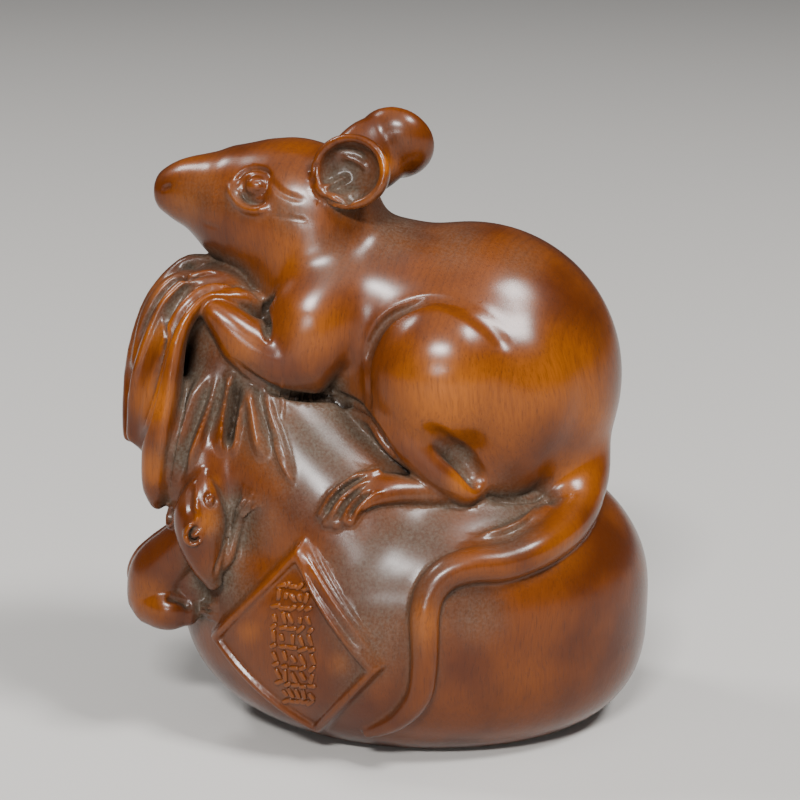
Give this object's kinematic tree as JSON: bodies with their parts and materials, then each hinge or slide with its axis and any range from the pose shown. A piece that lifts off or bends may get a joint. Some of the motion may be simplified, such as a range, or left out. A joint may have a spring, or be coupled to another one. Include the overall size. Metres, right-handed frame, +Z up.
{
  "type": "carved rat figurine",
  "caption": "Carved wooden figurine of a rat resting on a tied money bag, with a young rat climbing the bag and a bordered diamond panel on its front.",
  "frame": {"origin": "on the flat underside, at the middle of the figure's outline seen from above", "axes": "+Z up, -X towards the big rat's nose, -Y out of the carved front with the panel"},
  "size_m": [0.0814, 0.0585, 0.0946],
  "materials": {
    "rat_on_bag": "oiled and hand polished, dark patina in the recesses"
  },
  "bodies": {
    "root": {"rat_on_bag": "rat_on_bag"}
  },
  "joints": []
}
